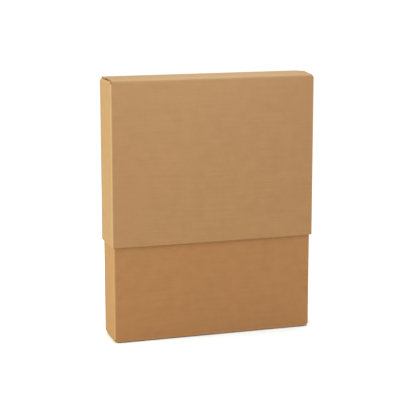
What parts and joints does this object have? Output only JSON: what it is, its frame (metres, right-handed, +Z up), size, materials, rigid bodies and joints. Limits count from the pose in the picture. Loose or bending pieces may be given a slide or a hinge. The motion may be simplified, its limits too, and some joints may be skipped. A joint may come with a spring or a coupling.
{
  "type": "telescopic cardboard box",
  "caption": "Tall, narrow two-part corrugated cardboard box: an open-bottomed cover slides down over an open-topped base, and long top flaps fold open.",
  "frame": {"origin": "middle of the cover's outline, on the floor under the base", "axes": "+Z up, +X to the right along the wide front, +Y from the front to the back"},
  "size_m": [1, 0.215, 1.252],
  "materials": {
    "base_board": "plain brown kraft liner, matt",
    "cover_board": "plain brown kraft liner, matt, a little paler than the base"
  },
  "bodies": {
    "base": {"base_box": "base_board"},
    "cover": {"cover_sleeve": "cover_board"},
    "front_flap": {"front_flap": "cover_board"},
    "back_flap": {"back_flap": "cover_board"}
  },
  "joints": [
    {"name": "cover_slide", "type": "slide", "parent": "base", "child": "cover", "axis": [0, 0, 1], "range_m": [-0.45, 0.325]},
    {"name": "front_flap_crease", "type": "hinge", "parent": "cover", "child": "front_flap", "pos_m": [0, -0.1075, 1.252], "axis": [1, 0, 0], "range_deg": [0, 265]},
    {"name": "back_flap_crease", "type": "hinge", "parent": "cover", "child": "back_flap", "pos_m": [0, 0.1075, 1.252], "axis": [-1, 0, 0], "range_deg": [0, 265]}
  ]
}
